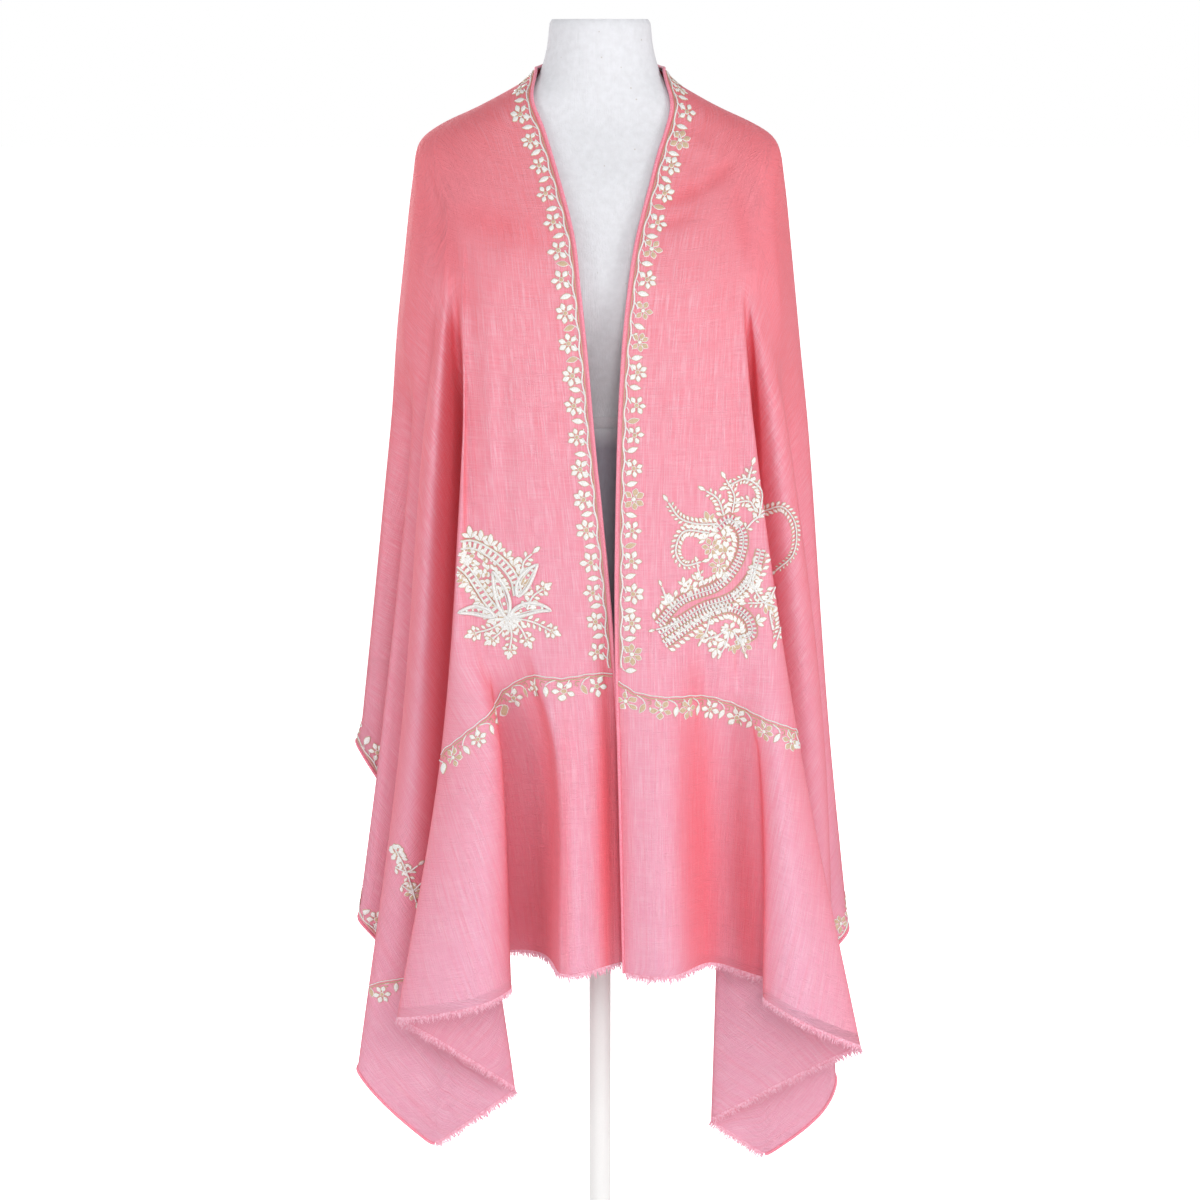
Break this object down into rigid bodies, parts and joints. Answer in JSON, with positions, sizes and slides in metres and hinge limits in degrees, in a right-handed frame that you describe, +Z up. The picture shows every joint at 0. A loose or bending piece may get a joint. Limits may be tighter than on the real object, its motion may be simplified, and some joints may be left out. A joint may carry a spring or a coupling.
{
  "type": "pashmina shawl on dress form",
  "caption": "Embroidered shawl draped as a wrap over the shoulders of a limbless dress form, with the two ends falling in flares and tails at the front, on a pole and round base.",
  "frame": {"origin": "middle of the underside of the stand's round base, where it meets the floor", "axes": "+Z up, the front of the form faces -Y, and +X is on the right as seen from in front"},
  "size_m": [0.5141, 0.38, 1.5],
  "materials": {
    "pashmina": "soft matt woven cashmere with a faint sheen, coral pink",
    "pashmina_hem": "narrow rolled hem and eyelash fringe of the same yarn",
    "linen": "off-white linen over the torso",
    "tape": "flat woven cotton tape",
    "stand": "satin white powder coat"
  },
  "bodies": {
    "root": {"shawl_left_front": "pashmina", "shawl_left_side": "pashmina", "shawl_back": "pashmina", "shawl_right_side": "pashmina", "shawl_right_front": "pashmina", "neck_hem": "pashmina_hem", "lower_hem": "pashmina_hem", "left_fringe": "pashmina_hem", "right_fringe": "pashmina_hem", "dress_form": "linen", "waist_tape": "tape", "form_collar": "stand", "form_pole": "stand", "form_base": "stand"}
  },
  "joints": []
}
